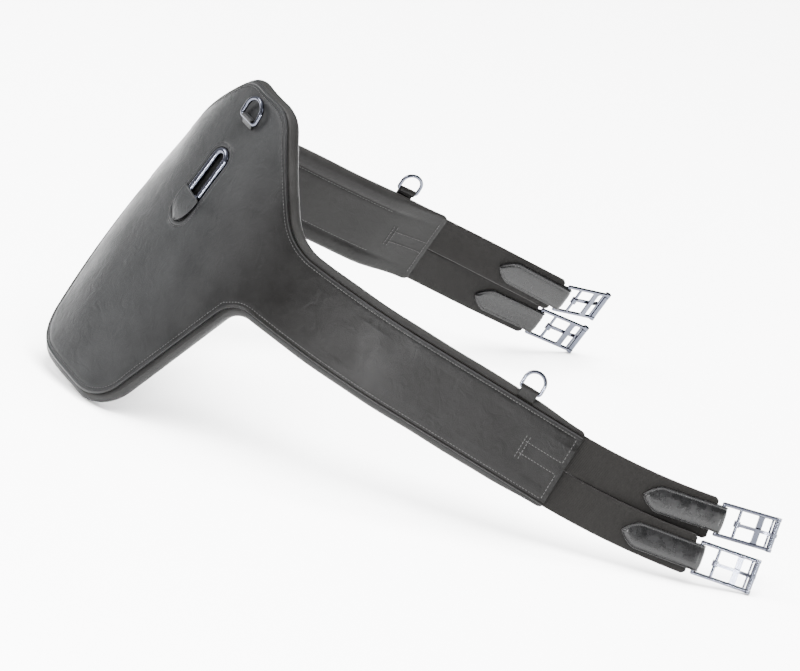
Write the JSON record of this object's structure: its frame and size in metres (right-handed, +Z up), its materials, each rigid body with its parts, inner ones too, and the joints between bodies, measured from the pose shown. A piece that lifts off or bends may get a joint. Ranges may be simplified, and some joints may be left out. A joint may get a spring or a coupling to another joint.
{
  "type": "stud girth",
  "caption": "Padded black leather riding girth bent in a U: wide belly-guard shield with a pocketed snap hook and ring, tapering to arms with elastic straps and roller buckles.",
  "frame": {"origin": "on the floor, under the middle of the bounding box; the girth stands on the rear lobe of its shield and on its two rear buckles", "axes": "+Z up; +X runs from the outside of the shield towards the open side of the U; -Y is the near arm's side and +Y the far arm's side"},
  "size_m": [0.6691, 0.7238, 0.3403],
  "materials": {
    "outer_leather": "satin",
    "lining_leather": "satin",
    "strap_leather": "glossy",
    "pocket_leather": "matte",
    "padding_foam": "matte",
    "woven_webbing": "matte",
    "ribbed_elastic": "matte",
    "plated_steel": "polished",
    "spring_steel": "satin"
  },
  "bodies": {
    "shield": {"shield_leather": "outer_leather", "shield_lining": "lining_leather", "shield_foam": "padding_foam", "shield_webbing": "woven_webbing", "hook_pocket": "pocket_leather", "front_ring_keeper": "strap_leather"},
    "front_ring": {"front_d_ring": "plated_steel"},
    "hook": {"hook_tab": "strap_leather", "snap_hook": "plated_steel", "gate_pin": "plated_steel"},
    "gate": {"hook_gate": "plated_steel", "gate_spring": "spring_steel"},
    "near_arm": {"near_arm_leather": "outer_leather", "near_arm_lining": "lining_leather", "near_arm_foam": "padding_foam", "near_arm_webbing": "woven_webbing", "near_end_patch": "strap_leather", "near_elastic_tails": "ribbed_elastic", "near_ring_keeper": "strap_leather"},
    "near_ring": {"near_d_ring": "plated_steel"},
    "far_arm": {"far_arm_leather": "outer_leather", "far_arm_lining": "lining_leather", "far_arm_foam": "padding_foam", "far_arm_webbing": "woven_webbing", "far_end_patch": "strap_leather", "far_elastic_tails": "ribbed_elastic", "far_ring_keeper": "strap_leather"},
    "far_ring": {"far_d_ring": "plated_steel"},
    "near_front_strap": {"near_front_elastic": "ribbed_elastic", "near_front_chape": "strap_leather"},
    "near_front_frame": {"near_front_buckle": "plated_steel"},
    "near_front_tube": {"near_front_roller": "plated_steel"},
    "near_front_prong": {"near_front_tongue": "plated_steel"},
    "near_rear_strap": {"near_rear_elastic": "ribbed_elastic", "near_rear_chape": "strap_leather"},
    "near_rear_frame": {"near_rear_buckle": "plated_steel"},
    "near_rear_tube": {"near_rear_roller": "plated_steel"},
    "near_rear_prong": {"near_rear_tongue": "plated_steel"},
    "far_front_strap": {"far_front_elastic": "ribbed_elastic", "far_front_chape": "strap_leather"},
    "far_front_frame": {"far_front_buckle": "plated_steel"},
    "far_front_tube": {"far_front_roller": "plated_steel"},
    "far_front_prong": {"far_front_tongue": "plated_steel"},
    "far_rear_strap": {"far_rear_elastic": "ribbed_elastic", "far_rear_chape": "strap_leather"},
    "far_rear_frame": {"far_rear_buckle": "plated_steel"},
    "far_rear_tube": {"far_rear_roller": "plated_steel"},
    "far_rear_prong": {"far_rear_tongue": "plated_steel"}
  },
  "joints": [
    {"name": "front_ring_flip", "type": "hinge", "parent": "shield", "child": "front_ring", "pos_m": [-0.20266, 0.1681, 0.3058], "axis": [0, -0.9881, -0.154], "range_deg": [0, 150]},
    {"name": "hook_tab_lift", "type": "hinge", "parent": "shield", "child": "hook", "pos_m": [-0.25424, 0.18968, 0.19336], "axis": [0, -0.9881, -0.154], "range_deg": [0, 120]},
    {"name": "gate_swing", "type": "hinge", "parent": "hook", "child": "gate", "pos_m": [-0.23906, 0.17788, 0.21449], "axis": [-0.9053, -0.0654, 0.4196], "range_deg": [0, 14], "stiffness_Nm_per_rad": 0.02, "springref_deg": -11.46},
    {"name": "near_arm_bend", "type": "hinge", "parent": "shield", "child": "near_arm", "pos_m": [-0.19618, -0.00314, 0.16524], "axis": [-0.4091, 0.0716, -0.9097], "range_deg": [-20, 50]},
    {"name": "near_ring_flip", "type": "hinge", "parent": "near_arm", "child": "near_ring", "pos_m": [-0.04713, -0.17395, 0.14886], "axis": [0.6509, -0.6977, -0.2993], "range_deg": [-90, 140]},
    {"name": "far_arm_bend", "type": "hinge", "parent": "shield", "child": "far_arm", "pos_m": [-0.1305, 0.33464, 0.19867], "axis": [0.315, -0.2932, 0.9027], "range_deg": [-20, 50]},
    {"name": "far_ring_flip", "type": "hinge", "parent": "far_arm", "child": "far_ring", "pos_m": [0.0914, 0.26897, 0.17736], "axis": [-0.8891, 0.3346, 0.3124], "range_deg": [-90, 140]},
    {"name": "near_front_strap_bend", "type": "hinge", "parent": "near_arm", "child": "near_front_strap", "pos_m": [-0.00978, -0.22138, 0.09843], "axis": [0.3849, -0.0365, 0.9222], "range_deg": [-76, 64]},
    {"name": "near_front_buckle_swing", "type": "hinge", "parent": "near_front_strap", "child": "near_front_frame", "pos_m": [0.10773, -0.31781, 0.06469], "axis": [0.2209, 0.0984, 0.9703], "range_deg": [-153, 127]},
    {"name": "near_front_roller_spin", "type": "hinge", "parent": "near_front_frame", "child": "near_front_tube", "pos_m": [0.16043, -0.3426, 0.0552], "axis": [0.2209, 0.0984, 0.9703], "continuous": true},
    {"name": "near_front_tongue_lift", "type": "hinge", "parent": "near_front_frame", "child": "near_front_prong", "pos_m": [0.1247, -0.32579, 0.06163], "axis": [-0.2209, -0.0984, -0.9703], "range_deg": [0, 150]},
    {"name": "near_rear_strap_bend", "type": "hinge", "parent": "near_arm", "child": "near_rear_strap", "pos_m": [-0.02564, -0.21988, 0.06044], "axis": [0.3849, -0.0365, 0.9222], "range_deg": [-72, 68]},
    {"name": "near_rear_buckle_swing", "type": "hinge", "parent": "near_rear_strap", "child": "near_rear_frame", "pos_m": [0.08496, -0.32465, 0.02779], "axis": [0.2494, 0.0925, 0.964], "range_deg": [-149, 131]},
    {"name": "near_rear_roller_spin", "type": "hinge", "parent": "near_rear_frame", "child": "near_rear_tube", "pos_m": [0.13358, -0.35669, 0.01829], "axis": [0.2494, 0.0925, 0.964], "continuous": true},
    {"name": "near_rear_tongue_lift", "type": "hinge", "parent": "near_rear_frame", "child": "near_rear_prong", "pos_m": [0.10061, -0.33497, 0.02473], "axis": [-0.2494, -0.0925, -0.964], "range_deg": [0, 150]},
    {"name": "far_front_strap_bend", "type": "hinge", "parent": "far_arm", "child": "far_front_strap", "pos_m": [0.13704, 0.2576, 0.13012], "axis": [-0.2278, 0.2952, -0.9279], "range_deg": [-79, 61]},
    {"name": "far_front_buckle_swing", "type": "hinge", "parent": "far_front_strap", "child": "far_front_frame", "pos_m": [0.26968, 0.19407, 0.07809], "axis": [-0.2352, 0.2987, -0.9249], "range_deg": [-112, 168]},
    {"name": "far_front_roller_spin", "type": "hinge", "parent": "far_front_frame", "child": "far_front_tube", "pos_m": [0.32701, 0.19702, 0.06446], "axis": [-0.2352, 0.2987, -0.9249], "continuous": true},
    {"name": "far_front_tongue_lift", "type": "hinge", "parent": "far_front_frame", "child": "far_front_prong", "pos_m": [0.28814, 0.19502, 0.0737], "axis": [0.2352, -0.2987, 0.9249], "range_deg": [0, 150]},
    {"name": "far_rear_strap_bend", "type": "hinge", "parent": "far_arm", "child": "far_rear_strap", "pos_m": [0.12766, 0.26976, 0.09189], "axis": [-0.2278, 0.2952, -0.9279], "range_deg": [-71, 69]},
    {"name": "far_rear_buckle_swing", "type": "hinge", "parent": "far_rear_strap", "child": "far_rear_frame", "pos_m": [0.2675, 0.22788, 0.03691], "axis": [-0.2515, 0.3024, -0.9194], "range_deg": [-136, 144]},
    {"name": "far_rear_roller_spin", "type": "hinge", "parent": "far_rear_frame", "child": "far_rear_tube", "pos_m": [0.32199, 0.21552, 0.01794], "axis": [-0.2515, 0.3024, -0.9194], "continuous": true},
    {"name": "far_rear_tongue_lift", "type": "hinge", "parent": "far_rear_frame", "child": "far_rear_prong", "pos_m": [0.28505, 0.2239, 0.0308], "axis": [0.2515, -0.3024, 0.9194], "range_deg": [0, 150]}
  ]
}
